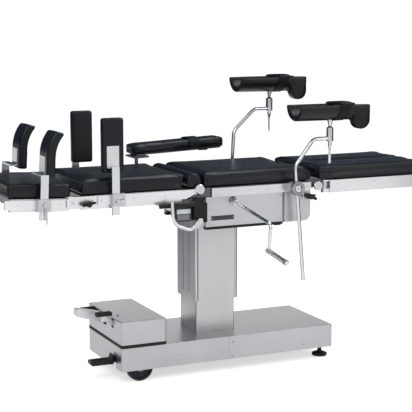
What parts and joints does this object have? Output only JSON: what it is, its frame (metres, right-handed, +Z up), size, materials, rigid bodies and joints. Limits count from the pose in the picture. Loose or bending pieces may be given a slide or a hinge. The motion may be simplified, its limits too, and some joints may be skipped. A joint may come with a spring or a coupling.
{
  "type": "operating table",
  "caption": "Hydraulic operating table: wheeled base, lifting column, tilting sectioned top with kidney bridge, side rails and clamped supports, arm board and knee crutches.",
  "frame": {"origin": "on the floor under the middle of the base", "axes": "+X from the head end to the leg end, +Y from the crank side to the far side, +Z up"},
  "size_m": [2.1589, 1.206, 1.3495],
  "materials": {
    "cover_steel": "stainless sheet brushed lengthways, satin",
    "frame_paint": "mid-grey machine enamel",
    "section_frame": "brushed stainless steel",
    "column_steel": "vertically brushed stainless steel",
    "rail_steel": "polished stainless steel",
    "chrome": "bright chrome plate",
    "post_steel": "stainless flat bar, brushed along its length",
    "clamp_metal": "satin cast and machined metal",
    "pump_metal": "black painted castings",
    "pedal_metal": "satin cast aluminium",
    "cushion": "seamless black upholstery skin, satin",
    "crutch_shell": "black moulded padding, satin",
    "black_plastic": "black moulded plastic",
    "rubber": "black rubber",
    "wheel_tread": "dark grey-blue moulded tread"
  },
  "bodies": {
    "base": {"base_chassis": "frame_paint", "base_cover_head": "cover_steel", "base_cover_foot": "cover_steel", "pump_cover": "cover_steel", "pump_cover_seal": "rubber", "hydraulic_unit": "pump_metal", "levelling_feet": "rubber", "column_inner_sleeve": "column_steel"},
    "lift": {"column_outer_sleeve": "column_steel", "piston_rod": "chrome", "column_head": "frame_paint"},
    "cradle": {"tilt_cradle": "frame_paint"},
    "table_frame": {"seat_frame": "frame_paint", "hinge_pins": "chrome", "side_covers": "cover_steel", "seat_rails": "rail_steel", "frame_guards": "black_plastic", "crank_gearbox": "frame_paint", "seat_pad": "cushion", "seat_clamps": "clamp_metal"},
    "bridge": {"bridge_lift": "frame_paint", "bridge_pad": "cushion"},
    "back": {"back_frame": "section_frame", "back_pad": "cushion", "back_clamps": "clamp_metal"},
    "head": {"head_frame": "section_frame", "head_pad": "cushion", "head_clamps": "clamp_metal"},
    "head_knobs": {"head_lock_knobs": "black_plastic"},
    "leg_knobs": {"leg_lock_knobs": "black_plastic"},
    "crank": {"crank": "chrome"},
    "crank_handle": {"crank_handle": "chrome"},
    "release_lever": {"release_lever": "chrome"},
    "arm_board": {"arm_post": "post_steel", "arm_pad": "cushion"},
    "brake": {"brake_pedal": "pump_metal"},
    "pump_pedal": {"pump_lever": "pedal_metal"},
    "lowering": {"lowering_pedal": "rubber"},
    "wheel_front": {"wheel_front": "wheel_tread"},
    "leg_yoke_front": {"leg_yoke_front": "section_frame"},
    "leg_front": {"leg_frame_front": "section_frame", "leg_pad_front": "cushion"},
    "shoulder_front": {"shoulder_post_front": "post_steel", "shoulder_pad_front": "cushion"},
    "body_support_front": {"body_post_front": "post_steel", "body_pad_front": "cushion"},
    "leg_rod_front": {"leg_rod_front": "chrome"},
    "crutch_front": {"crutch_front": "crutch_shell"},
    "lock_lever_front": {"lock_lever_front": "chrome"},
    "wheel_rear": {"wheel_rear": "wheel_tread"},
    "leg_yoke_rear": {"leg_yoke_rear": "section_frame"},
    "leg_rear": {"leg_frame_rear": "section_frame", "leg_pad_rear": "cushion"},
    "shoulder_rear": {"shoulder_post_rear": "post_steel", "shoulder_pad_rear": "cushion"},
    "body_support_rear": {"body_post_rear": "post_steel", "body_pad_rear": "cushion"},
    "leg_rod_rear": {"leg_rod_rear": "chrome"},
    "crutch_rear": {"crutch_rear": "crutch_shell"},
    "lock_lever_rear": {"lock_lever_rear": "chrome"}
  },
  "joints": [
    {"name": "lift", "type": "slide", "parent": "base", "child": "lift", "axis": [0, 0, 1], "range_m": [-0.15, 0.05]},
    {"name": "trendelenburg", "type": "hinge", "parent": "lift", "child": "cradle", "pos_m": [-0.0225, 0, 0.79], "axis": [0, -1, 0], "range_deg": [-25, 25]},
    {"name": "lateral_tilt", "type": "hinge", "parent": "cradle", "child": "table_frame", "pos_m": [-0.0225, 0, 0.836], "axis": [1, 0, 0], "range_deg": [-15, 15]},
    {"name": "back_section", "type": "hinge", "parent": "table_frame", "child": "back", "pos_m": [-0.175, 0, 0.88], "axis": [0, 1, 0], "range_deg": [-10, 70]},
    {"name": "head_section", "type": "hinge", "parent": "back", "child": "head", "pos_m": [-0.781, 0, 0.858], "axis": [0, 1, 0], "range_deg": [-90, 30]},
    {"name": "leg_drop_front", "type": "hinge", "parent": "table_frame", "child": "leg_yoke_front", "pos_m": [0.442, -0.22, 0.86], "axis": [0, 1, 0], "range_deg": [0, 90]},
    {"name": "leg_spread_front", "type": "hinge", "parent": "leg_yoke_front", "child": "leg_front", "pos_m": [0.492, -0.22, 0.86], "axis": [0, 0, -1], "range_deg": [0, 90]},
    {"name": "leg_drop_rear", "type": "hinge", "parent": "table_frame", "child": "leg_yoke_rear", "pos_m": [0.442, 0.22, 0.86], "axis": [0, 1, 0], "range_deg": [0, 90]},
    {"name": "leg_spread_rear", "type": "hinge", "parent": "leg_yoke_rear", "child": "leg_rear", "pos_m": [0.492, 0.22, 0.86], "axis": [0, 0, 1], "range_deg": [0, 90]},
    {"name": "crank_turn", "type": "hinge", "parent": "table_frame", "child": "crank", "pos_m": [-0.004, -0.246, 0.818], "axis": [0, -0.9905, -0.1374], "range_deg": [-3600, 0]},
    {"name": "bridge_raise", "type": "slide", "parent": "table_frame", "child": "bridge", "axis": [0, 0, 1], "range_m": [0, 0.1]},
    {"name": "handle_spin", "type": "hinge", "parent": "crank", "child": "crank_handle", "pos_m": [-0.004, -0.60535, 0.64295], "axis": [0, -0.9905, -0.1374], "continuous": true},
    {"name": "release_lever", "type": "hinge", "parent": "table_frame", "child": "release_lever", "pos_m": [-0.199, -0.292, 0.74], "axis": [0, 1, 0], "range_deg": [0, 25]},
    {"name": "shoulder_height_front", "type": "slide", "parent": "head", "child": "shoulder_front", "axis": [0.0454, 0, 0.999], "range_m": [-0.02, 0.03]},
    {"name": "shoulder_height_rear", "type": "slide", "parent": "head", "child": "shoulder_rear", "axis": [0.0454, 0, 0.999], "range_m": [-0.02, 0.03]},
    {"name": "body_support_height_front", "type": "slide", "parent": "back", "child": "body_support_front", "axis": [0, 0, 1], "range_m": [-0.02, 0.06]},
    {"name": "body_support_height_rear", "type": "slide", "parent": "back", "child": "body_support_rear", "axis": [0, 0, 1], "range_m": [-0.02, 0.06]},
    {"name": "arm_board_swivel", "type": "hinge", "parent": "back", "child": "arm_board", "pos_m": [-0.268, 0.29, 1], "axis": [0, 0, 1], "range_deg": [0, 90]},
    {"name": "leg_holder_height_front", "type": "slide", "parent": "table_frame", "child": "leg_rod_front", "axis": [-0.0873, 0, 0.9962], "range_m": [-0.05, 0.12]},
    {"name": "crutch_swivel_front", "type": "hinge", "parent": "leg_rod_front", "child": "crutch_front", "pos_m": [0.478, -0.29, 1.107], "axis": [0, 0, -1], "range_deg": [-30, 60]},
    {"name": "lock_lever_turn_front", "type": "hinge", "parent": "leg_rod_front", "child": "lock_lever_front", "pos_m": [0.478, -0.29, 1.047], "axis": [0, 0, 1], "continuous": true},
    {"name": "leg_holder_height_rear", "type": "slide", "parent": "table_frame", "child": "leg_rod_rear", "axis": [0.0636, 0, 0.998], "range_m": [-0.02, 0.12]},
    {"name": "crutch_swivel_rear", "type": "hinge", "parent": "leg_rod_rear", "child": "crutch_rear", "pos_m": [0.459, 0.29, 1.206], "axis": [0, 0, 1], "range_deg": [-30, 60]},
    {"name": "lock_lever_turn_rear", "type": "hinge", "parent": "leg_rod_rear", "child": "lock_lever_rear", "pos_m": [0.459, 0.29, 1.146], "axis": [0, 0, 1], "continuous": true},
    {"name": "head_knob_turn", "type": "hinge", "parent": "back", "child": "head_knobs", "pos_m": [-0.715, 0, 0.85], "axis": [0, 1, 0], "continuous": true},
    {"name": "leg_knob_turn", "type": "hinge", "parent": "table_frame", "child": "leg_knobs", "pos_m": [0.39, 0, 0.815], "axis": [0, 1, 0], "continuous": true},
    {"name": "brake", "type": "hinge", "parent": "base", "child": "brake", "pos_m": [-0.528, 0, 0.094], "axis": [0, -1, 0], "range_deg": [0, 4]},
    {"name": "pump", "type": "hinge", "parent": "base", "child": "pump_pedal", "pos_m": [-0.538, 0, 0.262], "axis": [0, -1, 0], "range_deg": [0, 14], "stiffness_Nm_per_rad": 40, "springref_deg": -14.32},
    {"name": "lowering", "type": "hinge", "parent": "base", "child": "lowering", "pos_m": [-0.538, 0, 0.262], "axis": [0, -1, 0], "range_deg": [0, 8], "stiffness_Nm_per_rad": 40, "springref_deg": -14.32},
    {"name": "wheel_spin_front", "type": "hinge", "parent": "base", "child": "wheel_front", "pos_m": [-0.448, -0.18, 0.0635], "axis": [0, 1, 0], "continuous": true},
    {"name": "wheel_spin_rear", "type": "hinge", "parent": "base", "child": "wheel_rear", "pos_m": [-0.448, 0.18, 0.0635], "axis": [0, 1, 0], "continuous": true}
  ],
  "couplings": [
    {"joint": "bridge_raise", "follows": "crank_turn", "m_per_rad": -0.0015915}
  ]
}
